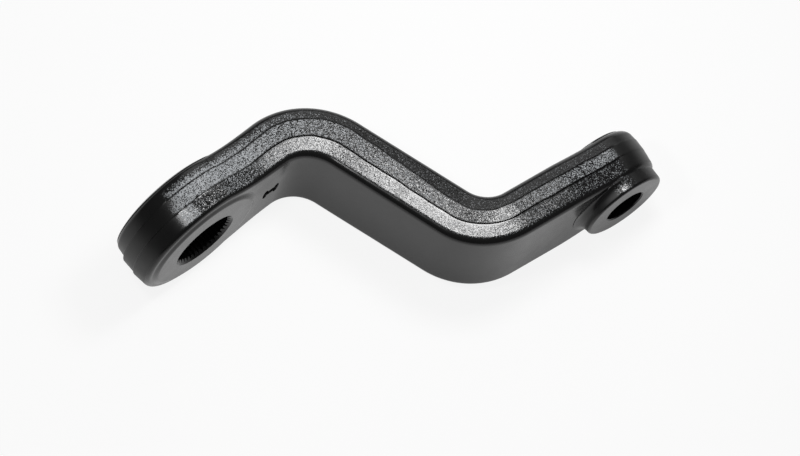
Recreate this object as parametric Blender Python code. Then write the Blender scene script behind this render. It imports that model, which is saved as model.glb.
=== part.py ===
"""Forged steering arm with a drop: a serrated eye, a Z-bent bar and a tapered ball-stud eye.

The arm is drawn as if it were still straight, in (s, u, h): s runs along its centre line from the
serrated bore to the ball-stud bore, u across its width, and h through its thickness, from the
steering gear's side (negative) to the nut's side (positive). The two bends are then made by laying
s along the bent centre line. At the end the arm is rolled onto the flank that it comes to rest on.
"""

import math

import bmesh
import bpy
import numpy as np
from mathutils import Matrix, Vector
from mathutils.geometry import intersect_point_tri_2d

MM = 0.001

# Centre line. Turns are in degrees, positive towards the nut's side.
BIG_EYE_FLAT = 18.8 * MM        # serrated bore to the slight turn
NECK_STRAIGHT = 16.8 * MM       # slight turn to the first bend
MIDDLE_STRAIGHT = 58.1 * MM
END_STRAIGHT = 31.4 * MM        # second bend to the slight turn at the small eye
SMALL_EYE_FLAT = 13.6 * MM
TURN_RUN = 10.5 * MM            # length of the slight turns beside the eyes
NECK_TURN = -1.6
BEND_1_TURN = 73.5
BEND_1_RADIUS = 29.6 * MM
BEND_2_TURN = -66.0
BEND_2_RADIUS = 27.5 * MM
STUD_EYE_TILT = 4.3             # the small eye's plane against the big eye's

# Plan outline, measured at the flash land
BIG_EYE_RADIUS = 34.0 * MM
SMALL_EYE_RADIUS = 23.1 * MM
NECK_WIDTH = 52.5 * MM
BEND_1_WIDTH = 49.2 * MM
BEND_2_WIDTH = 48.2 * MM
END_WIDTH = 52.7 * MM
NECK_FILLET = 61.6 * MM
SMALL_EYE_BLEND = 30.2 * MM     # length over which the bar narrows to the small eye

# Thickness on each side of the centre line
GEAR_SIDE_NECK = 12.5 * MM
GEAR_SIDE_BEND_1 = 13.1 * MM
GEAR_SIDE_BEND_2 = 13.7 * MM
GEAR_SIDE_END = 12.0 * MM
NUT_SIDE_NECK = 11.7 * MM
NUT_SIDE_BEND_1 = 12.6 * MM
NUT_SIDE_BEND_2 = 12.6 * MM
NUT_SIDE_END = 11.0 * MM
DRAFT = 6.3                     # degrees
EYE_EDGE_ROUND = 2.6 * MM
GEAR_EDGE_ROUND = 4.5 * MM
NUT_EDGE_ROUND = 2.7 * MM

# Trimmed flash land round the outline: half its height, and its shift towards the nut's side
LAND_HALF_NECK = 3.6 * MM
LAND_HALF_BEND_1 = 4.4 * MM
LAND_HALF_BEND_2 = 3.4 * MM
LAND_HALF_END = 3.0 * MM
LAND_SHIFT_NECK = -1.2 * MM
LAND_SHIFT_BEND_1 = -1.7 * MM
LAND_SHIFT_BEND_2 = -0.2 * MM
LAND_SHIFT_END = -1.6 * MM
LAND_STEP = 0.35 * MM           # how far the land stands proud of the drafted walls
EYE_HALVES_STEP = 0.9 * MM      # the nut's half of the big eye stands out, the gear's is set back

# Machined pads of the big eye
PAD_MARGIN = 7.1 * MM           # pad's edge to the eye's outline
PAD_HEIGHT = 1.1 * MM
PAD_EDGE_ROUND = 0.45 * MM

# Bosses of the small eye
BOSS_MARGIN = 2.3 * MM
BOSS_HEIGHT = 6.1 * MM
BOSS_EDGE_ROUND = 1.4 * MM
BOSS_FLARE = 3.5 * MM           # concave blend towards the bar
BACK_BOSS_MARGIN = 4.2 * MM
BACK_BOSS_HEIGHT = 0.6 * MM
BACK_BOSS_EDGE_ROUND = 0.35 * MM
SUNK = 4.0 * MM                 # how deep pads and bosses start inside the forging

# Serrated bore
TEETH = 40
SERRATION_OUTER = 15.9 * MM     # radius to the bottom of the serrations, at the nut's side
SERRATION_DEPTH = 1.1 * MM
SERRATION_TAPER = 0.75 * MM     # growth of the radius towards the gear's side
BORE_CHAMFER = 0.8 * MM

# Ball-stud bore
STUD_MOUTH_RADIUS = 9.95 * MM   # at the boss face
STUD_TAPER = 7.15               # degrees, whole angle
STUD_CHAMFER = 0.55 * MM

# Identification mark on the nut's side of the neck
MARK_LENGTH = 9.5 * MM
MARK_WIDTH = 2.4 * MM
MARK_DEPTH = 0.5 * MM
MARK_TO_BEND = 4.8 * MM
MARK_SHIFT = 6.0 * MM           # towards the upper flank

# Fineness of the facets
EYE_STEPS = 14                  # in a quarter of the big eye
SMALL_EYE_STEPS = 10
RUN_STEP = 6.0 * MM
BEND_STEP = 6.0                 # degrees
ROUND_STEPS = 4
BOSS_EDGE_STEPS = 2
CIRCLE_STEPS = 72
MARK_STEPS = 20
OVER = 1.0 * MM                 # how far cutters reach past a face
SHARP_ANGLE = 32.0              # degrees

draft = math.radians(DRAFT)
neck_turn = math.radians(NECK_TURN)
bend_1 = math.radians(BEND_1_TURN)
bend_2 = math.radians(BEND_2_TURN)
eye_tilt = math.radians(STUD_EYE_TILT)
end_turn = eye_tilt - (neck_turn + bend_1 + bend_2)

# The centre line as stretches of (length, turn), from one bore to the other
STRETCHES = (
    (BIG_EYE_FLAT, 0.0),
    (TURN_RUN, neck_turn),
    (NECK_STRAIGHT, 0.0),
    (BEND_1_RADIUS * abs(bend_1), bend_1),
    (MIDDLE_STRAIGHT, 0.0),
    (BEND_2_RADIUS * abs(bend_2), bend_2),
    (END_STRAIGHT, 0.0),
    (TURN_RUN, end_turn),
    (SMALL_EYE_FLAT, 0.0),
)
knots = np.cumsum([0.0] + [length for length, turn in STRETCHES])
NECK_START, BEND_1_START, BEND_1_END, BEND_2_START, BEND_2_END = knots[2:7]
ARM_RUN = float(knots[-1])

PAD_RADIUS = BIG_EYE_RADIUS - PAD_MARGIN
BOSS_RADIUS = SMALL_EYE_RADIUS - BOSS_MARGIN
BACK_BOSS_RADIUS = SMALL_EYE_RADIUS - BACK_BOSS_MARGIN
NUT_PAD_FACE = NUT_SIDE_NECK + PAD_HEIGHT
GEAR_PAD_FACE = GEAR_SIDE_NECK + PAD_HEIGHT
STUD_BOSS_FACE = NUT_SIDE_END + BOSS_HEIGHT
BACK_BOSS_FACE = GEAR_SIDE_END + BACK_BOSS_HEIGHT


# Small helpers

def clear_scene():
    for thing in list(bpy.data.objects):
        bpy.data.objects.remove(thing, do_unlink=True)


def eased(s, places, values):
    """Values along the arm, eased from each place to the next."""
    s = np.asarray(s, float)
    out = np.full(s.shape, values[0], float)
    for a, b, value_a, value_b in zip(places[:-1], places[1:], values[:-1], values[1:]):
        t = np.clip((s - a) / (b - a), 0.0, 1.0)
        out = np.where(s >= a, value_a + (value_b - value_a) * t * t * (3.0 - 2.0 * t), out)
    return out


def along(s, neck, at_bend_1, at_bend_2, end):
    """A size that changes along the bar between its four named values."""
    return eased(s, (NECK_START, BEND_1_END, BEND_2_START, BEND_2_END), (neck, at_bend_1, at_bend_2, end))


def bent(s, u, h):
    """Points of the straight arm laid along the bent centre line: +Z is u, -Y is the nut's side."""
    s, u, h = np.broadcast_arrays(np.asarray(s, float), u, h)
    x = np.minimum(s, 0.0)
    y = np.zeros_like(x)
    heading = np.zeros_like(x)
    start, angle = 0.0, 0.0
    for length, turn in STRETCHES:
        run = np.clip(s - start, 0.0, length)
        if turn:
            now = angle + run * turn / length
            x = x + length / turn * (np.sin(now) - math.sin(angle))
            y = y - length / turn * (math.cos(angle) - np.cos(now))
            heading = heading + run * turn / length
        else:
            x = x + run * math.cos(angle)
            y = y - run * math.sin(angle)
        start += length
        angle += turn
    beyond = np.maximum(s - start, 0.0)
    x = x + beyond * math.cos(angle) - h * np.sin(heading)
    y = y - beyond * math.sin(angle) - h * np.cos(heading)
    return np.stack([x, y, u], -1)


def round_an_eye(place, radius, turn, h):
    """Points round an eye's own axis, in the flat plane of that eye."""
    x, y, z = bent(place, 0.0, 0.0)
    tilt = eye_tilt if place > 0.0 else 0.0
    out, up = radius * np.cos(turn), radius * np.sin(turn)
    return np.stack([x + out * math.cos(tilt) - h * math.sin(tilt),
                     y - out * math.sin(tilt) - h * math.cos(tilt), up], -1)


def circle(steps, offset):
    return (np.arange(steps) + offset) / steps * 2.0 * math.pi


def mesh_object(name, points, faces):
    mesh = bpy.data.meshes.new(name)
    mesh.from_pydata([tuple(map(float, p)) for p in points], [], faces)
    work = bmesh.new()
    work.from_mesh(mesh)
    bmesh.ops.recalc_face_normals(work, faces=work.faces)
    work.to_mesh(mesh)
    work.free()
    thing = bpy.data.objects.new(name, mesh)
    bpy.context.collection.objects.link(thing)
    return thing


def bands(rings, count):
    """Four-sided faces between each ring of points and the next."""
    faces = []
    for j in range(rings - 1):
        for i in range(count):
            k = (i + 1) % count
            a, b = j * count, (j + 1) * count
            faces.append((a + i, a + k, b + k, b + i))
    return faces


def stacked_rings(name, rings):
    """A closed skin over rings of equally many points, with a flat cap at each end."""
    count = len(rings[0])
    last = (len(rings) - 1) * count
    faces = bands(len(rings), count)
    faces.append(tuple(range(count))[::-1])
    faces.append(tuple(range(last, last + count)))
    return mesh_object(name, np.concatenate(rings), faces)


def combine(body, tool, operation):
    tool.hide_render = True
    tool.display_type = "WIRE"
    change = body.modifiers.new(tool.name, "BOOLEAN")
    change.operation = operation
    change.solver = "EXACT"
    change.object = tool


# The forging

def stations():
    """Places along the bar where a section is drawn, closer together in the bends."""
    places = [0.0]
    for (length, turn), start in zip(STRETCHES, knots[:-1]):
        count = max(1, math.ceil(length / RUN_STEP), math.ceil(abs(math.degrees(turn)) / BEND_STEP))
        places += [start + length * i / count for i in range(1, count + 1)]
    return np.array(places)


def half_width(s):
    """Half the width of the plan outline between the two bore centres."""
    bar = along(s, NECK_WIDTH, BEND_1_WIDTH, BEND_2_WIDTH, END_WIDTH) / 2.0
    reach = bar + NECK_FILLET
    centre = np.sqrt((BIG_EYE_RADIUS + NECK_FILLET) ** 2 - reach ** 2)
    touch = centre * BIG_EYE_RADIUS / (BIG_EYE_RADIUS + NECK_FILLET)
    eye = np.sqrt(np.maximum(BIG_EYE_RADIUS ** 2 - s ** 2, 0.0))
    neck = reach - np.sqrt(np.maximum(NECK_FILLET ** 2 - (centre - s) ** 2, 0.0))
    out = np.where(s <= touch, eye, np.where(s < centre, neck, bar))
    narrowing = eased(s, (ARM_RUN - SMALL_EYE_BLEND, ARM_RUN), (0.0, 1.0))
    return out + (SMALL_EYE_RADIUS - out) * narrowing


def outline(inset):
    """Upper half of the plan outline, from the tip of the big eye to the tip of the small one."""
    s = stations()
    w = half_width(s)
    slope = np.gradient(w, s)
    slope[0] = slope[-1] = 0.0
    size = np.sqrt(1.0 + slope ** 2)
    middle = inset[EYE_STEPS:EYE_STEPS + len(s)]
    bar = np.stack([s + middle * slope / size, w - middle / size], -1)
    turn = math.pi - np.arange(EYE_STEPS) / EYE_STEPS * math.pi / 2.0
    r = BIG_EYE_RADIUS - inset[:EYE_STEPS]
    big = np.stack([r * np.cos(turn), r * np.sin(turn)], -1)
    turn = math.pi / 2.0 - np.arange(1, SMALL_EYE_STEPS + 1) / SMALL_EYE_STEPS * math.pi / 2.0
    r = SMALL_EYE_RADIUS - inset[EYE_STEPS + len(s):]
    small = np.stack([ARM_RUN + r * np.cos(turn), r * np.sin(turn)], -1)
    points = np.concatenate([big, bar, small])
    points[0, 1] = points[-1, 1] = 0.0
    return points


def drafted_wall(side, reach, half, shift, edge, foot):
    """Inset and height of the rings of one wall, from its flat face down to the flash land."""
    rise = reach - half
    edge = np.minimum(edge, rise)
    face_inset = foot + edge / math.cos(draft) + (rise - edge) * math.tan(draft)
    rings = []
    for i in range(ROUND_STEPS, -1, -1):
        a = draft + (math.pi / 2.0 - draft) * i / ROUND_STEPS
        height = half + rise - edge + edge * math.sin(a)
        rings.append((face_inset - edge * math.cos(a), shift + side * height))
    rings.append((foot, shift + side * half))
    rings.append((np.zeros_like(half), shift + side * (half - LAND_STEP)))
    return rings


def flat_face(start, count, ring_size):
    """Strips across the bar between the upper and the lower half of one ring."""
    faces = []
    for i in range(count - 1):
        a, b = start + i, start + i + 1
        c, d = start + (ring_size - i - 1) % ring_size, start + (ring_size - i) % ring_size
        strip = (a, b, c, d)
        if i == 0:
            strip = (a, b, c)
        elif i == count - 2:
            strip = (a, b, d)
        faces.append(strip)
    return faces


def forging():
    """The drafted blank: rings of the inset outline from the gear's side to the nut's side."""
    place = np.concatenate([np.zeros(EYE_STEPS), stations(), np.full(SMALL_EYE_STEPS, ARM_RUN)])
    gear = along(place, GEAR_SIDE_NECK, GEAR_SIDE_BEND_1, GEAR_SIDE_BEND_2, GEAR_SIDE_END)
    nut = along(place, NUT_SIDE_NECK, NUT_SIDE_BEND_1, NUT_SIDE_BEND_2, NUT_SIDE_END)
    half = along(place, LAND_HALF_NECK, LAND_HALF_BEND_1, LAND_HALF_BEND_2, LAND_HALF_END)
    shift = along(place, LAND_SHIFT_NECK, LAND_SHIFT_BEND_1, LAND_SHIFT_BEND_2, LAND_SHIFT_END)
    neck = (BIG_EYE_FLAT, BEND_1_START)
    gear_edge = eased(place, neck, (EYE_EDGE_ROUND, GEAR_EDGE_ROUND))
    nut_edge = eased(place, neck, (EYE_EDGE_ROUND, NUT_EDGE_ROUND))
    step = eased(place, neck, (EYE_HALVES_STEP, 0.0))
    levels = drafted_wall(-1, gear + shift, half, shift, gear_edge, LAND_STEP + step)
    levels += drafted_wall(1, nut - shift, half, shift, nut_edge, LAND_STEP - step)[::-1]

    points = []
    for inset, height in levels:
        upper = outline(inset)
        lower = upper[1:-1][::-1] * [1.0, -1.0]
        loop = np.concatenate([upper, lower])
        points.append(bent(loop[:, 0], loop[:, 1], np.concatenate([height, height[1:-1][::-1]])))
    ring_size = len(points[0])
    last = (len(points) - 1) * ring_size
    faces = bands(len(points), ring_size)
    faces += flat_face(0, len(place), ring_size) + flat_face(last, len(place), ring_size)
    return mesh_object("pitman_arm", np.concatenate(points), faces)


# Pads, bosses and bores

def boss(name, place, side, radius, face, height, edge, flare=0.0):
    """A round boss on one side of an eye; a flare blends its foot into the bar."""
    flare = min(flare, height - edge)
    profile = [(radius, face - SUNK - flare)]
    if flare > 0.0:
        for i in range(ROUND_STEPS + 1):
            a = i / ROUND_STEPS * math.pi / 2.0
            profile.append((radius + flare * (1.0 - math.sin(a)), face + flare * (1.0 - math.cos(a))))
    for i in range(BOSS_EDGE_STEPS + 1):
        a = i / BOSS_EDGE_STEPS * math.pi / 2.0
        profile.append((radius - edge * (1.0 - math.cos(a)), face + height - edge * (1.0 - math.sin(a))))
    toward_bar = math.pi if place > 0.0 else 0.0
    turn = circle(CIRCLE_STEPS, 0.5)
    lean = np.clip(np.cos(turn - toward_bar), 0.0, 1.0)
    rings = []
    for r, h in profile:
        size = radius + (r - radius) * (lean if r > radius else 1.0)
        rings.append(round_an_eye(place, size, turn, side * h))
    return stacked_rings(name, rings)


def round_cutter(name, place, levels):
    """A turned cutter about an eye's axis: levels are (height, radius)."""
    turn = circle(CIRCLE_STEPS, 0.35)
    return stacked_rings(name, [round_an_eye(place, r, turn, h) for h, r in levels])


def chamfer_cutter(name, face, side, mouth, depth):
    """A cone that breaks the edge of the serrated bore, from past the face to the given depth."""
    levels = [(side * (face + OVER), mouth + OVER), (side * (face - depth), mouth - depth)]
    return round_cutter(name, 0.0, levels)


def serration_cutter():
    """Tapered V serrations, wider at the gear's side."""
    turn = circle(2 * TEETH, 0.0)
    tooth = np.arange(2 * TEETH) % 2
    growth = SERRATION_TAPER / (NUT_PAD_FACE + GEAR_PAD_FACE)
    rings = []
    for h in (-GEAR_PAD_FACE - 2.0 * OVER, NUT_PAD_FACE + 2.0 * OVER):
        r = SERRATION_OUTER + growth * (NUT_PAD_FACE - h) - SERRATION_DEPTH * tooth
        rings.append(round_an_eye(0.0, r, turn, h))
    return stacked_rings("serrations", rings)


def stud_bore_cutter():
    """The taper that seats the ball stud, with a broken edge at each end."""
    lean = math.tan(math.radians(STUD_TAPER / 2.0))
    small = STUD_MOUTH_RADIUS - lean * (STUD_BOSS_FACE + BACK_BOSS_FACE)
    return round_cutter("stud_bore", ARM_RUN, [
        (STUD_BOSS_FACE + OVER, STUD_MOUTH_RADIUS + STUD_CHAMFER + OVER),
        (STUD_BOSS_FACE - STUD_CHAMFER, STUD_MOUTH_RADIUS - lean * STUD_CHAMFER),
        (-BACK_BOSS_FACE + STUD_CHAMFER, small + lean * STUD_CHAMFER),
        (-BACK_BOSS_FACE - OVER, small + STUD_CHAMFER + OVER)])


def mark_cutter():
    """A plain slot with round ends, where the identification is stamped."""
    place = BEND_1_START - MARK_TO_BEND
    face = float(along(place, NUT_SIDE_NECK, NUT_SIDE_BEND_1, NUT_SIDE_BEND_2, NUT_SIDE_END))
    turn = circle(MARK_STEPS, 0.5)
    s = place + np.sign(np.cos(turn)) * (MARK_LENGTH - MARK_WIDTH) / 2.0 + MARK_WIDTH / 2.0 * np.cos(turn)
    u = MARK_SHIFT + MARK_WIDTH / 2.0 * np.sin(turn)
    return stacked_rings("mark", [bent(s, u, h) for h in (face - MARK_DEPTH, face + 2.0 * OVER)])


def build_arm():
    body = forging()
    pads = [boss("nut_pad", 0.0, 1, PAD_RADIUS, NUT_SIDE_NECK, PAD_HEIGHT, PAD_EDGE_ROUND),
            boss("gear_pad", 0.0, -1, PAD_RADIUS, GEAR_SIDE_NECK, PAD_HEIGHT, PAD_EDGE_ROUND)]
    bosses = [boss("stud_boss", ARM_RUN, 1, BOSS_RADIUS, NUT_SIDE_END,
                   BOSS_HEIGHT, BOSS_EDGE_ROUND, BOSS_FLARE),
              boss("back_boss", ARM_RUN, -1, BACK_BOSS_RADIUS, GEAR_SIDE_END,
                   BACK_BOSS_HEIGHT, BACK_BOSS_EDGE_ROUND)]
    for thing in pads + bosses:
        combine(body, thing, "UNION")

    mouth = SERRATION_OUTER + BORE_CHAMFER
    depth = SERRATION_DEPTH + BORE_CHAMFER
    cutters = [serration_cutter(),
               chamfer_cutter("nut_chamfer", NUT_PAD_FACE, 1, mouth, depth),
               chamfer_cutter("gear_chamfer", GEAR_PAD_FACE, -1, mouth + SERRATION_TAPER, depth),
               stud_bore_cutter(),
               mark_cutter()]
    for thing in cutters:
        combine(body, thing, "DIFFERENCE")
    return body


# Coming to rest

def bake(body):
    """Turn the modifiers into one finished mesh, and delete their tools."""
    bpy.context.view_layer.update()
    seen = body.evaluated_get(bpy.context.evaluated_depsgraph_get())
    mesh = bpy.data.meshes.new_from_object(seen)
    tools = [change.object for change in body.modifiers]
    body.modifiers.clear()
    body.data = mesh
    for tool in tools:
        bpy.data.objects.remove(tool, do_unlink=True)
    mesh.shade_smooth()
    mesh.set_sharp_from_angle(angle=math.radians(SHARP_ANGLE))
    return mesh


def mass_centre(mesh):
    mesh.calc_loop_triangles()
    points = np.array([v.co for v in mesh.vertices])
    a, b, c = points[np.array([t.vertices for t in mesh.loop_triangles])].transpose(1, 0, 2)
    volumes = np.einsum("ij,ij->i", a, np.cross(b, c))
    return Vector((volumes[:, None] * (a + b + c) / 4.0).sum(0) / volumes.sum())


def resting_turn(mesh):
    """The turn that lays a piece down: it rolls from facet to facet of its convex hull, each time
    onto the one under its centre of mass, until that facet lies flat."""
    centre = mass_centre(mesh)
    hull = bmesh.new()
    for v in mesh.vertices:
        hull.verts.new(v.co - centre)
    bmesh.ops.convex_hull(hull, input=hull.verts)
    down = Vector((0.0, 0.0, -1.0))
    turn = Matrix.Identity(3)
    flat = False
    while not flat:
        for face in hull.faces:
            corners = [(turn @ v.co).xy for v in face.verts]
            if (turn @ face.normal).z < 0.0 and intersect_point_tri_2d(Vector((0.0, 0.0)), *corners):
                below = face.normal.copy()
        flat = (turn @ below).angle(down) < 1e-4
        turn = below.rotation_difference(down).to_matrix()
    hull.free()
    return turn


def settle(body):
    """Lay the arm down, and put the bottom centre of its box at the origin."""
    mesh = bake(body)
    turn = resting_turn(mesh)
    spots = np.array([turn @ v.co for v in mesh.vertices])
    low, high = spots.min(0), spots.max(0)
    body.rotation_euler = turn.to_euler()
    body.location = (-(low[0] + high[0]) / 2.0, -(low[1] + high[1]) / 2.0, -low[2])


def black_coat():
    coat = bpy.data.materials.new("black_coat")
    coat.use_nodes = True
    shader = coat.node_tree.nodes["Principled BSDF"]
    shader.inputs["Base Color"].default_value = (0.018, 0.018, 0.017, 1.0)
    shader.inputs["Roughness"].default_value = 0.36
    shader.inputs["Metallic"].default_value = 0.0
    return coat


clear_scene()
arm = build_arm()
settle(arm)
arm.data.materials.clear()
arm.data.materials.append(black_coat())
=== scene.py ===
import math

import bmesh
import bpy
import numpy as np
from mathutils import Matrix, Quaternion, Vector


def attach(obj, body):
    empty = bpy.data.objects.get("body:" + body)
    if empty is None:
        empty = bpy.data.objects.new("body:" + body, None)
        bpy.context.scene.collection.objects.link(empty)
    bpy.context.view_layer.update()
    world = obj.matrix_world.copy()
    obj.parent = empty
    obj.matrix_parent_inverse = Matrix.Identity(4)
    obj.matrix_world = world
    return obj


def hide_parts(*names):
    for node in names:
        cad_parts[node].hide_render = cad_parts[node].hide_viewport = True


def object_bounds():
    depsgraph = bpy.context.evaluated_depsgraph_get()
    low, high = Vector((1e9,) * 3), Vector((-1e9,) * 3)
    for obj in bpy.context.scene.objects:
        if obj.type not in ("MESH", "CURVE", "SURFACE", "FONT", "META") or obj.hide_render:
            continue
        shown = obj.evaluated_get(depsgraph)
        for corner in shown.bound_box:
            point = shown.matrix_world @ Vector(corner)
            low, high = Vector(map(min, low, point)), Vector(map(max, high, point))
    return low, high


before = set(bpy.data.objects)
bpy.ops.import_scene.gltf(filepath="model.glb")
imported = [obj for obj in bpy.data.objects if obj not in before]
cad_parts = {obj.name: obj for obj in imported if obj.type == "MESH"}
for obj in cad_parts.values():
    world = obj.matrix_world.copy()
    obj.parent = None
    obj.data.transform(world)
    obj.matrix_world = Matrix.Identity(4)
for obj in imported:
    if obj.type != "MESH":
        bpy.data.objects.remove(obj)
cad_low, cad_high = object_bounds()

MM = 0.001

# How the arm lies. It is drawn as if it were still straight, in (s, u, h): s runs along its centre
# line from the serrated bore to the ball-stud bore, u across its width, and h through its
# thickness towards the nut's side. It is then bent, and rolled onto its flank.
REST_DOWN = Vector((0.122789, 0.103203, -0.987052))     # towards the surface, in the arm's own axes

# Centre line. Turns are in degrees, positive towards the nut's side.
BIG_EYE_FLAT = 18.8 * MM
NECK_STRAIGHT = 16.8 * MM
MIDDLE_STRAIGHT = 58.1 * MM
END_STRAIGHT = 31.4 * MM
SMALL_EYE_FLAT = 13.6 * MM
TURN_RUN = 10.5 * MM
NECK_TURN = -1.6
BEND_1_TURN = 73.5
BEND_1_RADIUS = 29.6 * MM
BEND_2_TURN = -66.0
BEND_2_RADIUS = 27.5 * MM
STUD_EYE_TILT = 4.3

# Plan outline, measured at the flash land
BIG_EYE_RADIUS = 34.0 * MM
SMALL_EYE_RADIUS = 23.1 * MM
NECK_WIDTH = 52.5 * MM
BEND_1_WIDTH = 49.2 * MM
BEND_2_WIDTH = 48.2 * MM
END_WIDTH = 52.7 * MM
NECK_FILLET = 61.6 * MM
SMALL_EYE_BLEND = 30.2 * MM

# Thickness on each side of the centre line
GEAR_SIDE_NECK = 12.5 * MM
GEAR_SIDE_BEND_1 = 13.1 * MM
GEAR_SIDE_BEND_2 = 13.7 * MM
GEAR_SIDE_END = 12.0 * MM
NUT_SIDE_NECK = 11.7 * MM
NUT_SIDE_BEND_1 = 12.6 * MM
NUT_SIDE_BEND_2 = 12.6 * MM
NUT_SIDE_END = 11.0 * MM
DRAFT = 6.3
EYE_EDGE_ROUND = 2.6 * MM
GEAR_EDGE_ROUND = 4.5 * MM
NUT_EDGE_ROUND = 3.7 * MM

# Trimmed flash land, with a fine groove along each of its two edges
LAND_HALF_NECK = 3.6 * MM
LAND_HALF_BEND_1 = 4.4 * MM
LAND_HALF_BEND_2 = 3.4 * MM
LAND_HALF_END = 3.0 * MM
LAND_SHIFT_NECK = -1.2 * MM
LAND_SHIFT_BEND_1 = -1.7 * MM
LAND_SHIFT_BEND_2 = -0.2 * MM
LAND_SHIFT_END = -1.6 * MM
LAND_STEP = 0.35 * MM
LAND_STEP_FADE = 8.0 * MM       # the step fades past the stud bore's centre
LAND_STEP_LEFT = 0.2            # to this share of itself
EYE_HALVES_STEP = 0.9 * MM      # the nut's half of the big eye stands out, the gear's is set back
GROOVE_WIDTH = 0.55 * MM
GROOVE_DEPTH = 0.32 * MM
GROOVE_FADE_BIG_EYE = 6.0 * MM
GROOVE_FADE_SMALL_EYE = 5.0 * MM
LINE_WANDER = 0.16 * MM         # how far the land's edges stray from a fair line

# Pads and bosses
PAD_RADIUS = 29.2 * MM
PAD_HEIGHT = 1.1 * MM
PAD_BLEND = 3.6 * MM            # width of the soft step round a pad
PAD_FOOT_SUNK = 0.02 * MM       # its foot starts this far under the eye's face
BOSS_RADIUS = 20.8 * MM
BOSS_HEIGHT = 6.1 * MM
BOSS_EDGE_ROUND = 1.4 * MM
BOSS_FLARE = 4.6 * MM
BACK_BOSS_RADIUS = 18.9 * MM
BACK_BOSS_HEIGHT = 0.6 * MM
BACK_BOSS_EDGE_ROUND = 0.35 * MM
SUNK = 4.0 * MM

# Serrated bore and ball-stud bore
TEETH = 40
SERRATION_OUTER = 15.9 * MM
SERRATION_DEPTH = 1.1 * MM
SERRATION_TAPER = 0.75 * MM
BORE_CHAMFER = 0.8 * MM
STUD_MOUTH_RADIUS = 9.95 * MM
STUD_TAPER = 7.15
STUD_CHAMFER = 0.55 * MM

# Stamped mark on the neck
MARK_LENGTH = 9.6 * MM
MARK_WIDTH = 4.6 * MM
MARK_END_LENGTH = 3.2 * MM
MARK_END_WIDTH = 8.0 * MM
MARK_DEPTH = 1.4 * MM
MARK_TO_BEND = 4.7 * MM
MARK_SHIFT = -1.7 * MM
MARK_SIZES = (0.8, 1.0, 1.3)    # its size at its bottom, at the face and past the face

# How far the blasted grain reaches past each bore's centre, and how softly it ends
GRAIN_PAST_BIG_EYE = 12.5 * MM
GRAIN_FURTHER_ON_NUT_SIDE = 2.5 * MM
GRAIN_PAST_SMALL_EYE = 1.5 * MM
GRAIN_FADE = 2.5 * MM
GRAIN_ON_BOSS = 8.0 * MM        # how far before that bore's centre it still shows on the boss
GRAIN_BOSS_FADE = 1.5 * MM
GRAIN_TO_BORE = 0.2 * MM        # the grain stops this far before a bore's edge
FLANK_LEAN = (0.18, 0.48)       # sine of a flank's lean to the faces, where the grain fades out
GROOVE_CLEAR = 0.25             # bare to each side of the groove's middle, in groove widths
GROOVE_LIP_GRAIN = 0.4          # share of the grain left on the groove's outer lip

# Coat and grain
COAT_BLACK = (0.006, 0.006, 0.006, 1.0)
COAT_IOR = 1.48
# light grey of a fleck: partly the blasted grain's own tone, partly a painted glint
FLECK_GREY_AND_GLINT = (0.37, 0.385, 0.4, 1.0)
FLECK_SCALE = 2700.0            # flecks of the blasted grain to the metre
FLECK_LEAN = 0.175              # how far they lean
BESIDE_BORE_LEAN = 0.65         # and how much further on the nut's wall beside the bore
FLECK_RAMP = 0.4                # how softly they go from dark to light
FLECK_ROUGH = 0.3               # how much rougher a light fleck is than the coat
FLECK_SCATTER = 1.2             # how far single flecks stray past the grain's soft end
FLECK_SHOWS = (0.35, 0.55)      # where a fleck begins to show there, and where it shows in full
SKIN_SCALE = 160.0              # slow change of the gloss over the coat
SKIN_DETAIL = 4.0
SKIN_RANGE = (0.3, 0.7)
SKIN_ROUGH = (0.19, 0.25)
DULL_ROUGH = 0.27               # how much rougher the coat is where it is dull
DULL_BESIDE_BORE = 0.1
DULL_AT_ENDS = 0.6

# Share of the flecks that show light grey on the land and on the two walls: partly the grain's own
# tone, partly painted highlight by the big eye and painted shade in the second bend
LAND_BY_BIG_EYE = 0.8
LAND_FURTHER = 0.45
LAND_IN_BEND_2 = 0.26
LAND_AT_END = 0.58
GEAR_WALL_BY_BIG_EYE = 0.95
GEAR_WALL_FURTHER = 0.17
NUT_WALL_BY_BIG_EYE = 0.46
NUT_WALL_FURTHER = 0.27
NUT_WALL_AT_END = 0.75          # painted highlight where the grain begins, at the big eye
NUT_WALL_END = 0.2              # that place, as a share of the big eye's radius
BESIDE_BORE_LESS = 0.45         # share of the light flecks taken away beside the bore, as painted shade
BESIDE_BORE_MIDDLE = 1.5 * MM   # that place's middle, and how far it reaches to each side
BESIDE_BORE_REACH = (6.0 * MM, 12.0 * MM)
BIG_EYE_END = (20.0 * MM, 28.0 * MM)
GEAR_WALL_LOW = (0.85, 0.6)     # where the painted highlight on the gear's wall by the big eye ends, as shares of its thickness

# Fineness of the mesh
EYE_STEPS = 40
SMALL_EYE_STEPS = 28
RUN_STEP = 1.4 * MM
BEND_STEP = 2.0
ROUND_STEPS = 9
BOSS_EDGE_STEPS = 6
CIRCLE_STEPS = 180
MARK_STEPS = 24
OVER = 1.0 * MM                 # how far a cutter reaches past a face
SHARP_ANGLE = 38.0
INSIDE = 0.12 * MM              # keeps the finer curves within the solids' box

# Floor, world and lamps. The floor shows partly as plain white, less so in reflections.
FLOOR_SIZE = 6.0
FLOOR_COLOUR = (0.92, 0.92, 0.92, 1.0)
FLOOR_ROUGH = 0.9
FLOOR_WHITE = 0.88
FLOOR_MIRRORED = 0.45
WORLD_GLOW = 0.08
LAMPS = (
    # name, lean from the arm's upward axis along x and y, roll, distance, size, glow
    ("key", 14.0, 4.5, -30.0, 0.4, (0.126, 0.084), 32.0),
    ("side", -29.0, 7.0, 0.0, 0.6, (0.06, 0.08), 60.0),
    ("wide", 43.0, 39.0, 0.0, 1.5, (1.0, 0.75), 1.1),
)

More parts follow.
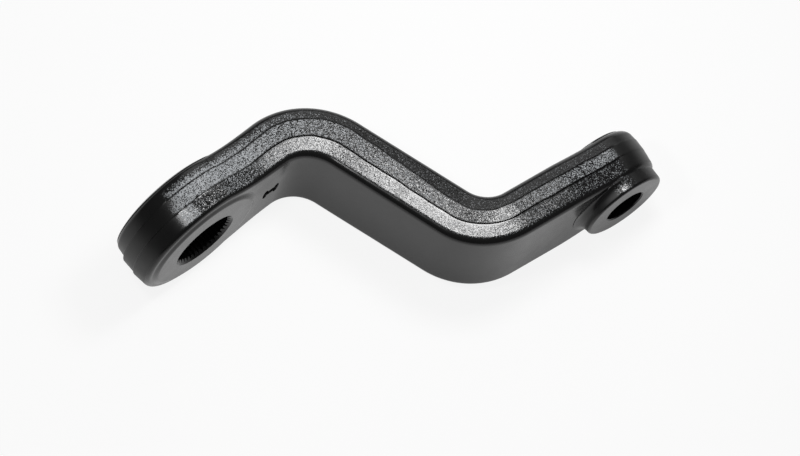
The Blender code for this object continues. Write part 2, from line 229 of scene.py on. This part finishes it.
# Camera, in the arm's own axes
CAMERA_AZIMUTH = -62.92
CAMERA_ELEVATION = 62.73
CAMERA_ROLL = 24.13
CAMERA_DISTANCE = 3.5076
CAMERA_AIM = Vector((77.454 * MM, -61.593 * MM, 0.0))
CAMERA_LENS = 344.41            # millimetres, on a 36 mm sensor

draft = math.radians(DRAFT)
neck_turn = math.radians(NECK_TURN)
bend_1 = math.radians(BEND_1_TURN)
bend_2 = math.radians(BEND_2_TURN)
eye_tilt = math.radians(STUD_EYE_TILT)
end_turn = eye_tilt - (neck_turn + bend_1 + bend_2)

# The centre line as stretches of (length, turn), from one bore to the other
STRETCHES = (
    (BIG_EYE_FLAT, 0.0),
    (TURN_RUN, neck_turn),
    (NECK_STRAIGHT, 0.0),
    (BEND_1_RADIUS * abs(bend_1), bend_1),
    (MIDDLE_STRAIGHT, 0.0),
    (BEND_2_RADIUS * abs(bend_2), bend_2),
    (END_STRAIGHT, 0.0),
    (TURN_RUN, end_turn),
    (SMALL_EYE_FLAT, 0.0),
)
knots = np.cumsum([0.0] + [length for length, turn in STRETCHES])
NECK_START, BEND_1_START, BEND_1_END, BEND_2_START, BEND_2_END = knots[2:7]
ARM_RUN = float(knots[-1])
NUT_PAD_FACE = NUT_SIDE_NECK + PAD_HEIGHT
GEAR_PAD_FACE = GEAR_SIDE_NECK + PAD_HEIGHT
STUD_BOSS_FACE = NUT_SIDE_END + BOSS_HEIGHT
BACK_BOSS_FACE = GEAR_SIDE_END + BACK_BOSS_HEIGHT


# Shape helpers

def rising(value, start, end):
    """From 0 at start to 1 at end, level at both."""
    t = np.clip((value - start) / (end - start), 0.0, 1.0)
    return t * t * (3.0 - 2.0 * t)


def eased(s, places, values):
    """Values along the arm, eased from each place to the next."""
    s = np.asarray(s, float)
    out = np.full(s.shape, values[0], float)
    for a, b, value_a, value_b in zip(places[:-1], places[1:], values[:-1], values[1:]):
        out = np.where(s >= a, value_a + (value_b - value_a) * rising(s, a, b), out)
    return out


def along(s, neck, at_bend_1, at_bend_2, end):
    """A size that changes along the bar between its four named values."""
    places = (NECK_START, BEND_1_END, BEND_2_START, BEND_2_END)
    return eased(s, places, (neck, at_bend_1, at_bend_2, end))


def centre_line(s):
    """Place and heading of points on the bent centre line."""
    s = np.asarray(s, float)
    x = np.minimum(s, 0.0)
    y = np.zeros_like(x)
    heading = np.zeros_like(x)
    start, angle = 0.0, 0.0
    for length, turn in STRETCHES:
        run = np.clip(s - start, 0.0, length)
        if turn:
            now = angle + run * turn / length
            x = x + length / turn * (np.sin(now) - math.sin(angle))
            y = y - length / turn * (math.cos(angle) - np.cos(now))
            heading = heading + run * turn / length
        else:
            x = x + run * math.cos(angle)
            y = y - run * math.sin(angle)
        start += length
        angle += turn
    beyond = np.maximum(s - start, 0.0)
    return x + beyond * math.cos(angle), y - beyond * math.sin(angle), heading


def bent(s, u, h):
    """Points of the straight arm laid along the bent centre line: +Z is u, -Y is the nut's side."""
    s, u, h = np.broadcast_arrays(np.asarray(s, float), u, h)
    x, y, heading = centre_line(s)
    return np.stack([x - h * np.sin(heading), y - h * np.cos(heading), u], -1)


def round_an_eye(place, radius, turn, h):
    """Points round an eye's own axis, in the flat plane of that eye."""
    x, y = centre_line(place)[:2]
    tilt = eye_tilt if place > 0.0 else 0.0
    out, up = radius * np.cos(turn), radius * np.sin(turn)
    return np.stack([x + out * math.cos(tilt) - h * math.sin(tilt),
                     y - out * math.sin(tilt) - h * math.cos(tilt), up], -1)


def circle(steps, offset):
    return (np.arange(steps) + offset) / steps * 2.0 * math.pi


def mesh_object(name, points, faces):
    mesh = bpy.data.meshes.new(name)
    mesh.from_pydata([tuple(map(float, p)) for p in points], [], faces)
    work = bmesh.new()
    work.from_mesh(mesh)
    bmesh.ops.recalc_face_normals(work, faces=work.faces)
    work.to_mesh(mesh)
    work.free()
    thing = bpy.data.objects.new(name, mesh)
    bpy.context.scene.collection.objects.link(thing)
    return thing


def bands(rings, count):
    """Four-sided faces between each ring of points and the next."""
    faces = []
    for j in range(rings - 1):
        for i in range(count):
            k = (i + 1) % count
            a, b = j * count, (j + 1) * count
            faces.append((a + i, a + k, b + k, b + i))
    return faces


def stacked_rings(name, rings):
    """A closed skin over rings of equally many points, with a flat cap at each end."""
    count = len(rings[0])
    last = (len(rings) - 1) * count
    faces = bands(len(rings), count)
    faces.append(tuple(range(count))[::-1])
    faces.append(tuple(range(last, last + count)))
    return mesh_object(name, np.concatenate(rings), faces)


def combine(body, tool, operation):
    change = body.modifiers.new(tool.name, "BOOLEAN")
    change.operation = operation
    change.solver = "EXACT"
    change.object = tool


# The forging

def stations():
    """Places along the bar where a section is drawn, closer together in the bends."""
    places = [0.0]
    for (length, turn), start in zip(STRETCHES, knots[:-1]):
        count = max(1, math.ceil(length / RUN_STEP), math.ceil(abs(math.degrees(turn)) / BEND_STEP))
        places += [start + length * i / count for i in range(1, count + 1)]
    return np.array(places)


def half_width(s):
    """Half the width of the plan outline between the two bore centres."""
    bar = along(s, NECK_WIDTH, BEND_1_WIDTH, BEND_2_WIDTH, END_WIDTH) / 2.0
    reach = bar + NECK_FILLET
    centre = np.sqrt((BIG_EYE_RADIUS + NECK_FILLET) ** 2 - reach ** 2)
    touch = centre * BIG_EYE_RADIUS / (BIG_EYE_RADIUS + NECK_FILLET)
    eye = np.sqrt(np.maximum(BIG_EYE_RADIUS ** 2 - s ** 2, 0.0))
    neck = reach - np.sqrt(np.maximum(NECK_FILLET ** 2 - (centre - s) ** 2, 0.0))
    out = np.where(s <= touch, eye, np.where(s < centre, neck, bar))
    narrowing = eased(s, (ARM_RUN - SMALL_EYE_BLEND, ARM_RUN), (0.0, 1.0))
    return out + (SMALL_EYE_RADIUS - out) * narrowing


def outline(inset):
    """Upper half of the plan outline, from the tip of the big eye to the tip of the small one."""
    inset = inset + INSIDE
    s = stations()
    w = half_width(s)
    slope = np.gradient(w, s)
    slope[0] = slope[-1] = 0.0
    size = np.sqrt(1.0 + slope ** 2)
    middle = inset[EYE_STEPS:EYE_STEPS + len(s)]
    bar = np.stack([s + middle * slope / size, w - middle / size], -1)
    turn = math.pi - np.arange(EYE_STEPS) / EYE_STEPS * math.pi / 2.0
    r = BIG_EYE_RADIUS - inset[:EYE_STEPS]
    big = np.stack([r * np.cos(turn), r * np.sin(turn)], -1)
    turn = math.pi / 2.0 - np.arange(1, SMALL_EYE_STEPS + 1) / SMALL_EYE_STEPS * math.pi / 2.0
    r = SMALL_EYE_RADIUS - inset[EYE_STEPS + len(s):]
    small = np.stack([ARM_RUN + r * np.cos(turn), r * np.sin(turn)], -1)
    points = np.concatenate([big, bar, small])
    points[0, 1] = points[-1, 1] = 0.0
    return points


def land_edges(s):
    """Half the height of the land and its place, with edges that wander a little, in waves of
    unlike lengths."""
    half = along(s, LAND_HALF_NECK, LAND_HALF_BEND_1, LAND_HALF_BEND_2, LAND_HALF_END)
    shift = along(s, LAND_SHIFT_NECK, LAND_SHIFT_BEND_1, LAND_SHIFT_BEND_2, LAND_SHIFT_END)
    t = np.asarray(s, float) / MM
    half = half + LINE_WANDER * (0.5 * np.sin(t / 3.7) + 0.35 * np.sin(t / 1.9 + 1.0))
    shift = shift + LINE_WANDER * (0.6 * np.sin(t / 5.3 + 2.0) + 0.3 * np.sin(t / 2.3))
    return half, shift


def drafted_wall(side, reach, half, shift, edge, foot, groove):
    """Inset and height of the rings of one wall, from its flat face down to the flash land."""
    rise = reach - half
    edge = np.minimum(edge, rise)
    face_inset = foot + edge / math.cos(draft) + (rise - edge) * math.tan(draft)
    # one more ring on the face itself keeps its shading flat
    rings = [(face_inset + 0.3 * edge, shift + side * reach)]
    for i in range(ROUND_STEPS, -1, -1):
        a = draft + (math.pi / 2.0 - draft) * i / ROUND_STEPS
        height = half + rise - edge + edge * math.sin(a)
        rings.append((face_inset - edge * math.cos(a), shift + side * height))
    # down the wall, and into the groove at its foot
    low = GROOVE_WIDTH
    for height, deeper in ((2.2 * low, 0.0), (low, 0.0), (0.5 * low, groove)):
        wall_inset = foot + height * math.tan(draft) + deeper
        rings.append((wall_inset, shift + side * (half + height)))
    rings.append((np.zeros_like(half), shift + side * half))
    rings.append((np.zeros_like(half), shift + side * (half - low)))
    return rings


def flat_face(start, count, ring_size):
    """Strips across the bar between the upper and the lower half of one ring."""
    faces = []
    for i in range(count - 1):
        a, b = start + i, start + i + 1
        c, d = start + (ring_size - i - 1) % ring_size, start + (ring_size - i) % ring_size
        strip = (a, b, c, d)
        if i == 0:
            strip = (a, b, c)
        elif i == count - 2:
            strip = (a, b, d)
        faces.append(strip)
    return faces


def forging():
    """The drafted blank: rings of the inset outline from the gear's side to the nut's side."""
    place = np.concatenate([np.zeros(EYE_STEPS), stations(), np.full(SMALL_EYE_STEPS, ARM_RUN)])
    gear = along(place, GEAR_SIDE_NECK, GEAR_SIDE_BEND_1, GEAR_SIDE_BEND_2, GEAR_SIDE_END)
    nut = along(place, NUT_SIDE_NECK, NUT_SIDE_BEND_1, NUT_SIDE_BEND_2, NUT_SIDE_END)
    half, shift = land_edges(place)
    lying = outline(np.zeros_like(place))[:, 0]
    begins = -GRAIN_PAST_BIG_EYE
    groove = GROOVE_DEPTH * rising(lying, begins - GROOVE_FADE_BIG_EYE, begins)
    groove = groove * (1.0 - rising(lying, ARM_RUN, ARM_RUN + GROOVE_FADE_SMALL_EYE))
    neck = (BIG_EYE_FLAT, BEND_1_START)
    gear_edge = eased(place, neck, (EYE_EDGE_ROUND, GEAR_EDGE_ROUND))
    nut_edge = eased(place, neck, (EYE_EDGE_ROUND, NUT_EDGE_ROUND))
    step = eased(place, neck, (EYE_HALVES_STEP, 0.0))
    foot = LAND_STEP * eased(lying, (ARM_RUN, ARM_RUN + LAND_STEP_FADE), (1.0, LAND_STEP_LEFT))
    levels = drafted_wall(-1, gear + shift, half, shift, gear_edge, foot + step, groove)
    levels += drafted_wall(1, nut - shift, half, shift, nut_edge, foot - step, groove)[::-1]

    points = []
    for inset, height in levels:
        upper = outline(inset)
        lower = upper[1:-1][::-1] * [1.0, -1.0]
        loop = np.concatenate([upper, lower])
        points.append(bent(loop[:, 0], loop[:, 1], np.concatenate([height, height[1:-1][::-1]])))
    ring_size = len(points[0])
    last = (len(points) - 1) * ring_size
    faces = bands(len(points), ring_size)
    faces += flat_face(0, len(place), ring_size) + flat_face(last, len(place), ring_size)
    return mesh_object("arm_forging", np.concatenate(points), faces)


# Pads, bosses and bores

def pad(name, side, face):
    """A machined pad with a soft step round it."""
    profile = [(PAD_RADIUS + PAD_BLEND / 2.0, face - SUNK)]
    steps = 2 * BOSS_EDGE_STEPS
    for i in range(steps + 1):
        t = i / steps
        rise = PAD_HEIGHT * (1.0 - math.cos(math.pi * t)) / 2.0 - PAD_FOOT_SUNK * (i == 0)
        profile.append((PAD_RADIUS + PAD_BLEND * (0.5 - t), face + rise))
    turn = circle(CIRCLE_STEPS, 0.5)
    return stacked_rings(name, [round_an_eye(0.0, r, turn, side * h) for r, h in profile])


def boss(name, place, side, radius, face, height, edge, flare=0.0):
    """A round boss on one side of an eye; a flare blends its foot into the bar."""
    flare = min(flare, height - edge)
    profile = [(radius, face - SUNK - flare)]
    if flare > 0.0:
        for i in range(ROUND_STEPS + 1):
            a = i / ROUND_STEPS * math.pi / 2.0
            out, up = 1.0 - math.sin(a), 1.0 - math.cos(a)
            profile.append((radius + flare * out, face + flare * up))
    for i in range(BOSS_EDGE_STEPS + 1):
        a = i / BOSS_EDGE_STEPS * math.pi / 2.0
        back, down = 1.0 - math.cos(a), 1.0 - math.sin(a)
        profile.append((radius - edge * back, face + height - edge * down))
    turn = circle(CIRCLE_STEPS, 0.5)
    lean = np.clip(np.cos(turn - math.pi), 0.0, 1.0)
    rings = []
    for r, h in profile:
        size = radius + (r - radius) * (lean if r > radius else 1.0)
        rings.append(round_an_eye(place, size, turn, side * h))
    return stacked_rings(name, rings)


def round_cutter(name, place, levels):
    """A turned cutter about an eye's axis: levels are (height, radius)."""
    turn = circle(CIRCLE_STEPS, 0.35)
    return stacked_rings(name, [round_an_eye(place, r, turn, h) for h, r in levels])


def chamfer_cutter(name, face, side, mouth, depth):
    """A cone that breaks the edge of the serrated bore, from past the face to the given depth."""
    levels = [(side * (face + OVER), mouth + OVER), (side * (face - depth), mouth - depth)]
    return round_cutter(name, 0.0, levels)


def serration_cutter():
    """Tapered V serrations, wider at the gear's side, with small flats on their tips and roots."""
    turn = np.arange(4 * TEETH) / (4 * TEETH) * 2.0 * math.pi
    swing = np.tile([-0.25, 0.25, 0.25, -0.25], TEETH) * 2.0 * math.pi / (4 * TEETH)
    tooth = np.tile([0.0, 0.0, 1.0, 1.0], TEETH)
    growth = SERRATION_TAPER / (NUT_PAD_FACE + GEAR_PAD_FACE)
    rings = []
    for h in (-GEAR_PAD_FACE - 2.0 * OVER, NUT_PAD_FACE + 2.0 * OVER):
        r = SERRATION_OUTER + growth * (NUT_PAD_FACE - h) - SERRATION_DEPTH * tooth
        rings.append(round_an_eye(0.0, r, turn - swing, h))
    return stacked_rings("serrations", rings)


def stud_bore_cutter():
    """The taper that seats the ball stud, with a broken edge at each end."""
    lean = math.tan(math.radians(STUD_TAPER / 2.0))
    small = STUD_MOUTH_RADIUS - lean * (STUD_BOSS_FACE + BACK_BOSS_FACE)
    return round_cutter("stud_bore", ARM_RUN, [
        (STUD_BOSS_FACE + OVER, STUD_MOUTH_RADIUS + STUD_CHAMFER + OVER),
        (STUD_BOSS_FACE - STUD_CHAMFER, STUD_MOUTH_RADIUS - lean * STUD_CHAMFER),
        (-BACK_BOSS_FACE + STUD_CHAMFER, small + lean * STUD_CHAMFER),
        (-BACK_BOSS_FACE - OVER, small + STUD_CHAMFER + OVER)])


def mark_cutters():
    """A plain slot with a dimple at each end, where the identification is stamped."""
    place = BEND_1_START - MARK_TO_BEND
    face = float(along(place, NUT_SIDE_NECK, NUT_SIDE_BEND_1, NUT_SIDE_BEND_2, NUT_SIDE_END))
    reach = (MARK_LENGTH - MARK_END_LENGTH) / 2.0
    turn = circle(MARK_STEPS, 0.5)
    tools = []
    for name, middle, length, width in (("mark_bar", 0.0, 2.0 * reach, MARK_WIDTH),
                                        ("mark_start", -reach, MARK_END_LENGTH, MARK_END_WIDTH),
                                        ("mark_end", reach, MARK_END_LENGTH, MARK_END_WIDTH)):
        rings = []
        for h, grow in zip((face - MARK_DEPTH, face, face + OVER), MARK_SIZES):
            s = place + middle + grow * length / 2.0 * np.cos(turn)
            rings.append(bent(s, MARK_SHIFT + grow * width / 2.0 * np.sin(turn), h))
        tools.append(stacked_rings(name, rings))
    return tools


def bake(body):
    """Turn the modifiers into one finished mesh, and delete their tools."""
    bpy.context.view_layer.update()
    seen = body.evaluated_get(bpy.context.evaluated_depsgraph_get())
    mesh = bpy.data.meshes.new_from_object(seen)
    tools = [change.object for change in body.modifiers]
    body.modifiers.clear()
    body.data = mesh
    for tool in tools:
        bpy.data.objects.remove(tool, do_unlink=True)
    return mesh


def build_arm():
    body = forging()
    unions = [pad("nut_pad", 1, NUT_SIDE_NECK),
              pad("gear_pad", -1, GEAR_SIDE_NECK),
              boss("stud_boss", ARM_RUN, 1, BOSS_RADIUS, NUT_SIDE_END,
                   BOSS_HEIGHT, BOSS_EDGE_ROUND, BOSS_FLARE),
              boss("back_boss", ARM_RUN, -1, BACK_BOSS_RADIUS, GEAR_SIDE_END,
                   BACK_BOSS_HEIGHT, BACK_BOSS_EDGE_ROUND)]
    for thing in unions:
        combine(body, thing, "UNION")
    mouth = SERRATION_OUTER + BORE_CHAMFER
    depth = SERRATION_DEPTH + BORE_CHAMFER
    cutters = [serration_cutter(),
               chamfer_cutter("nut_chamfer", NUT_PAD_FACE, 1, mouth, depth),
               chamfer_cutter("gear_chamfer", GEAR_PAD_FACE, -1, mouth + SERRATION_TAPER, depth),
               stud_bore_cutter()] + mark_cutters()
    for thing in cutters:
        combine(body, thing, "DIFFERENCE")
    bake(body)
    return body


# Where the blasted grain and the trimmed land show, and how many of their flecks are light grey as
# painted highlight and shade; faces, rounds and bores stay smooth

def paint(mesh, name, values):
    layer = mesh.attributes.new(name, "FLOAT", "POINT")
    layer.data.foreach_set("value", values.astype(np.float32))


def mark_grain(mesh):
    """Paint four marks for the coat: where the grain shows ("grain"), how many of its flecks are
    light grey ("light"), which stands partly for the grain's tone and partly for painted highlight
    and painted shade by place, how far they lean ("rugged"), and where the coat is less glossy
    ("dull")."""
    points = np.array([v.co for v in mesh.vertices])
    normals = np.array([v.normal for v in mesh.vertices])
    px, py, pz = points.T

    # each point's own s and h, from the nearest of many stops on the centre line
    stops = np.linspace(0.0, ARM_RUN, 600)
    x, y, heading = centre_line(stops)
    nearest = np.empty(len(points), int)
    for start in range(0, len(points), 4000):
        some = slice(start, start + 4000)
        away = (px[some, None] - x) ** 2 + (py[some, None] - y) ** 2
        nearest[some] = away.argmin(1)
    s = stops[nearest]
    sine, cosine = np.sin(heading)[nearest], np.cos(heading)[nearest]
    h = -(px - x[nearest]) * sine - (py - y[nearest]) * cosine
    half, shift = land_edges(s)
    past_land = (np.abs(h - shift) - half) / GROOVE_WIDTH
    stud_x, stud_y = centre_line(ARM_RUN)[:2]
    past_stud = (px - stud_x) * math.cos(eye_tilt) - (py - stud_y) * math.sin(eye_tilt)

    # the flanks only, between the two eyes, and neither in the bores nor in the grooves
    flank = 1.0 - rising(np.abs(normals[:, 0] * sine + normals[:, 1] * cosine), *FLANK_LEAN)
    limit = GRAIN_PAST_BIG_EYE + np.where(h > shift, GRAIN_FURTHER_ON_NUT_SIDE, 0.0)
    begun = 1.0 - rising(-px, limit - GRAIN_FADE, limit + GRAIN_FADE)
    ended = rising(past_stud, GRAIN_PAST_SMALL_EYE - GRAIN_FADE, GRAIN_PAST_SMALL_EYE + GRAIN_FADE)
    on_boss = rising(h, NUT_SIDE_END - MM, NUT_SIDE_END + MM) * (s > ARM_RUN - SMALL_EYE_BLEND)
    bare = on_boss * (1.0 - rising(past_stud + GRAIN_ON_BOSS, -GRAIN_BOSS_FADE, GRAIN_BOSS_FADE))
    grain = flank * begun * (1.0 - ended) * (1.0 - bare)
    serrated = SERRATION_OUTER + SERRATION_TAPER + BORE_CHAMFER
    for across, reach in ((px, serrated), (past_stud, STUD_MOUTH_RADIUS + STUD_CHAMFER)):
        grain = np.where(np.hypot(across, pz) < reach + GRAIN_TO_BORE, 0.0, grain)
    grain = np.where(np.abs(past_land - 0.5) < GROOVE_CLEAR, 0.0, grain)
    grain = np.where(np.abs(past_land - 1.0) < GROOVE_CLEAR, GROOVE_LIP_GRAIN * grain, grain)

    # how many flecks are light grey, by place: painted highlight by the big eye, painted shade in
    # the second bend
    further = rising(s, 0.0, BEND_1_END)
    in_bend_2 = (BEND_2_START + BEND_2_END) / 2.0
    places = (0.0, BEND_1_END, in_bend_2, ARM_RUN - SMALL_EYE_BLEND, ARM_RUN)
    shares = (LAND_BY_BIG_EYE, LAND_FURTHER, LAND_IN_BEND_2, LAND_FURTHER, LAND_AT_END)
    land = eased(s, places, shares)
    low_down = rising(-h / GEAR_SIDE_NECK, *GEAR_WALL_LOW)
    gear_wall = GEAR_WALL_BY_BIG_EYE * low_down * (1.0 - further) + GEAR_WALL_FURTHER * further
    beside_bore = 1.0 - rising(np.abs(px - BESIDE_BORE_MIDDLE), *BESIDE_BORE_REACH)
    beside_bore = beside_bore * (h > shift + half)
    nut_wall = NUT_WALL_BY_BIG_EYE * (1.0 - further) + NUT_WALL_FURTHER * further
    # painted shade: fewer light flecks on the nut's wall beside the bore
    nut_wall = nut_wall * (1.0 - BESIDE_BORE_LESS * beside_bore)
    # painted highlight: more light flecks on the nut's wall where the grain begins at the big eye
    nut_wall = np.where(px < -NUT_WALL_END * BIG_EYE_RADIUS, NUT_WALL_AT_END, nut_wall)
    walls = np.where(h < shift, gear_wall, nut_wall)
    ends = DULL_AT_ENDS * np.maximum(rising(-px, *BIG_EYE_END), ended)

    paint(mesh, "grain", grain)
    paint(mesh, "light", np.where(past_land < 0.1, land, walls))
    paint(mesh, "rugged", beside_bore)
    paint(mesh, "dull", np.maximum.reduce([DULL_BESIDE_BORE * beside_bore, ends, bare]) * flank)


def lay_down(body):
    """Roll the arm onto its flank, in the place where the solids lie."""
    turn = REST_DOWN.rotation_difference(Vector((0.0, 0.0, -1.0))).to_matrix()
    body.data.transform(turn.to_4x4())
    spots = np.array([v.co for v in body.data.vertices])
    low, high = spots.min(0), spots.max(0)
    shift = (Vector(cad_low) + Vector(cad_high)) / 2.0 - Vector((low + high) / 2.0)
    body.data.transform(Matrix.Translation(shift))
    return Matrix.Translation(shift) @ turn.to_4x4()


# Materials

def node(tree, kind, **settings):
    made = tree.nodes.new(kind)
    for key, value in settings.items():
        setattr(made, key, value)
    return made


def maths(tree, operation, a, b):
    """A Math node; a and b are numbers or the outputs of other nodes."""
    made = node(tree, "ShaderNodeMath", operation=operation)
    for slot, value in zip(made.inputs, (a, b)):
        if isinstance(value, float):
            slot.default_value = value
        else:
            tree.links.new(value, slot)
    return made.outputs["Value"]


def ranged(tree, value, was, becomes):
    """A Map Range node, from one (low, high) to another."""
    made = node(tree, "ShaderNodeMapRange")
    for key, number in zip(("From Min", "From Max", "To Min", "To Max"), was + becomes):
        made.inputs[key].default_value = number
    tree.links.new(value, made.inputs["Value"])
    return made.outputs["Result"]


def black_coat():
    """Glossy black coat. Where the grain is painted it breaks up into small flecks: each leans its
    own way, and by chance it is black or light grey and rougher.
    The light grey is partly the grain's own tone and partly painted glints of light."""
    coat = bpy.data.materials.new("black_coat_fine")
    coat.use_nodes = True
    tree = coat.node_tree
    link = tree.links.new
    shader = tree.nodes["Principled BSDF"]
    shader.inputs["Metallic"].default_value = 0.0
    shader.inputs["IOR"].default_value = COAT_IOR
    place = node(tree, "ShaderNodeTexCoord").outputs["Object"]
    grain, light, rugged, dull = (
        node(tree, "ShaderNodeAttribute", attribute_name=name).outputs["Fac"]
        for name in ("grain", "light", "rugged", "dull"))

    flecks = node(tree, "ShaderNodeTexVoronoi")
    flecks.inputs["Scale"].default_value = FLECK_SCALE
    link(place, flecks.inputs["Vector"])
    parts = node(tree, "ShaderNodeSeparateColor")
    link(flecks.outputs["Color"], parts.inputs["Color"])
    chance = parts.outputs["Red"]
    stray = maths(tree, "MULTIPLY", maths(tree, "SUBTRACT", chance, 0.5), FLECK_SCATTER)
    edge = ranged(tree, maths(tree, "ADD", grain, stray), FLECK_SHOWS, (0.0, 1.0))
    shown = maths(tree, "MULTIPLY", edge, grain)
    past = maths(tree, "SUBTRACT", maths(tree, "ADD", chance, light), 1.0)
    lit = maths(tree, "MULTIPLY", ranged(tree, past, (0.0, FLECK_RAMP), (0.0, 1.0)), shown)
    # base colour: light grey flecks on the black coat, partly grain and partly painted glints
    colour = node(tree, "ShaderNodeMix", data_type="RGBA")
    colour.inputs["A"].default_value = COAT_BLACK
    colour.inputs["B"].default_value = FLECK_GREY_AND_GLINT
    link(lit, colour.inputs["Factor"])
    link(colour.outputs["Result"], shader.inputs["Base Color"])

    skin = node(tree, "ShaderNodeTexNoise")
    skin.inputs["Scale"].default_value = SKIN_SCALE
    skin.inputs["Detail"].default_value = SKIN_DETAIL
    link(place, skin.inputs["Vector"])
    gloss = ranged(tree, skin.outputs["Fac"], SKIN_RANGE, SKIN_ROUGH)
    gloss = maths(tree, "ADD", gloss, maths(tree, "MULTIPLY", dull, DULL_ROUGH))
    gloss = maths(tree, "ADD", gloss, maths(tree, "MULTIPLY", lit, FLECK_ROUGH))
    link(gloss, shader.inputs["Roughness"])

    lean = node(tree, "ShaderNodeVectorMath", operation="SUBTRACT")
    link(flecks.outputs["Color"], lean.inputs[0])
    lean.inputs[1].default_value = (0.5, 0.5, 0.5)
    leant = node(tree, "ShaderNodeVectorMath", operation="SCALE")
    link(lean.outputs["Vector"], leant.inputs[0])
    reach = maths(tree, "ADD", maths(tree, "MULTIPLY", rugged, BESIDE_BORE_LEAN), FLECK_LEAN)
    link(maths(tree, "MULTIPLY", shown, reach), leant.inputs["Scale"])
    blasted = node(tree, "ShaderNodeVectorMath", operation="ADD")
    link(node(tree, "ShaderNodeNewGeometry").outputs["Normal"], blasted.inputs[0])
    link(leant.outputs["Vector"], blasted.inputs[1])
    level = node(tree, "ShaderNodeVectorMath", operation="NORMALIZE")
    link(blasted.outputs["Vector"], level.inputs[0])
    link(level.outputs["Vector"], shader.inputs["Normal"])
    return coat


# Studio

def floor():
    """A pale floor, which keeps the arm's soft shadow."""
    bpy.ops.mesh.primitive_plane_add(size=FLOOR_SIZE)
    ground = bpy.context.object
    ground.name = "floor"
    pale = bpy.data.materials.new("pale_floor")
    pale.use_nodes = True
    tree = pale.node_tree
    link = tree.links.new
    shader = tree.nodes["Principled BSDF"]
    shader.inputs["Base Color"].default_value = FLOOR_COLOUR
    shader.inputs["Roughness"].default_value = FLOOR_ROUGH
    shader.inputs["Specular IOR Level"].default_value = 0.0
    ray = node(tree, "ShaderNodeLightPath").outputs
    mirrored = maths(tree, "MAXIMUM", ray["Is Glossy Ray"], ray["Is Transmission Ray"])
    part = maths(tree, "MAXIMUM", maths(tree, "MULTIPLY", ray["Is Camera Ray"], FLOOR_WHITE),
                 maths(tree, "MULTIPLY", mirrored, FLOOR_MIRRORED))
    white = node(tree, "ShaderNodeEmission")
    white.inputs["Strength"].default_value = 1.0
    mixed = node(tree, "ShaderNodeMixShader")
    link(part, mixed.inputs[0])
    link(shader.outputs["BSDF"], mixed.inputs[1])
    link(white.outputs["Emission"], mixed.inputs[2])
    link(mixed.outputs["Shader"], tree.nodes["Material Output"].inputs["Surface"])
    ground.data.materials.append(pale)


def area_light(name, lean_x, lean_y, roll, distance, size, glow):
    """A soft lamp that faces the arm; glow is its brightness, the same whatever its size."""
    lamp = bpy.data.lights.new(name, "AREA")
    lamp.shape = "RECTANGLE"
    lamp.size, lamp.size_y = size
    lamp.energy = glow * math.pi * size[0] * size[1]
    thing = bpy.data.objects.new(name, lamp)
    bpy.context.scene.collection.objects.link(thing)
    turn = lie.to_3x3()
    lean = (math.tan(math.radians(angle)) for angle in (lean_x, lean_y))
    out = Vector((*lean, 1.0)).normalized()
    across = (Vector((1.0, 0.0, 0.0)) - out * out.x).normalized()
    across.rotate(Quaternion(out, math.radians(roll)))
    axes = Matrix((turn @ across, turn @ out.cross(across), turn @ out)).transposed()
    spot = lie @ CAMERA_AIM + turn @ out * distance
    thing.matrix_world = Matrix.Translation(spot) @ axes.to_4x4()


def studio():
    world = bpy.data.worlds.new("studio")
    bpy.context.scene.world = world
    world.use_nodes = True
    back = world.node_tree.nodes["Background"]
    back.inputs["Color"].default_value = (1.0, 1.0, 1.0, 1.0)
    back.inputs["Strength"].default_value = WORLD_GLOW
    for lamp in LAMPS:
        area_light(*lamp)


def camera():
    angles = (CAMERA_AZIMUTH, CAMERA_ELEVATION, CAMERA_ROLL)
    azimuth, elevation, roll = (math.radians(angle) for angle in angles)
    back = Vector((math.sin(azimuth) * math.cos(elevation),
                   -math.cos(azimuth) * math.cos(elevation), math.sin(elevation)))
    right = Vector((math.cos(azimuth), math.sin(azimuth), 0.0))
    up = back.cross(right)
    across = right * math.cos(roll) + up * math.sin(roll)
    upward = up * math.cos(roll) - right * math.sin(roll)
    view = Matrix((across, upward, back)).transposed().to_4x4()
    lens = bpy.data.cameras.new("camera")
    lens.lens = CAMERA_LENS
    lens.sensor_width = 36.0
    lens.clip_end = 100.0
    thing = bpy.data.objects.new("camera", lens)
    bpy.context.scene.collection.objects.link(thing)
    thing.matrix_world = lie @ Matrix.Translation(CAMERA_AIM + back * CAMERA_DISTANCE) @ view
    bpy.context.scene.camera = thing


arm = build_arm()
mark_grain(arm.data)
lie = lay_down(arm)
arm.data.shade_smooth()
arm.data.set_sharp_from_angle(angle=math.radians(SHARP_ANGLE))
flats = arm.modifiers.new("flats", "WEIGHTED_NORMAL")
flats.keep_sharp = True
arm.data.materials.clear()
arm.data.materials.append(black_coat())
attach(arm, "root")
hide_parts("pitman_arm")
floor()
studio()
camera()
bpy.context.scene.view_settings.view_transform = "Standard"
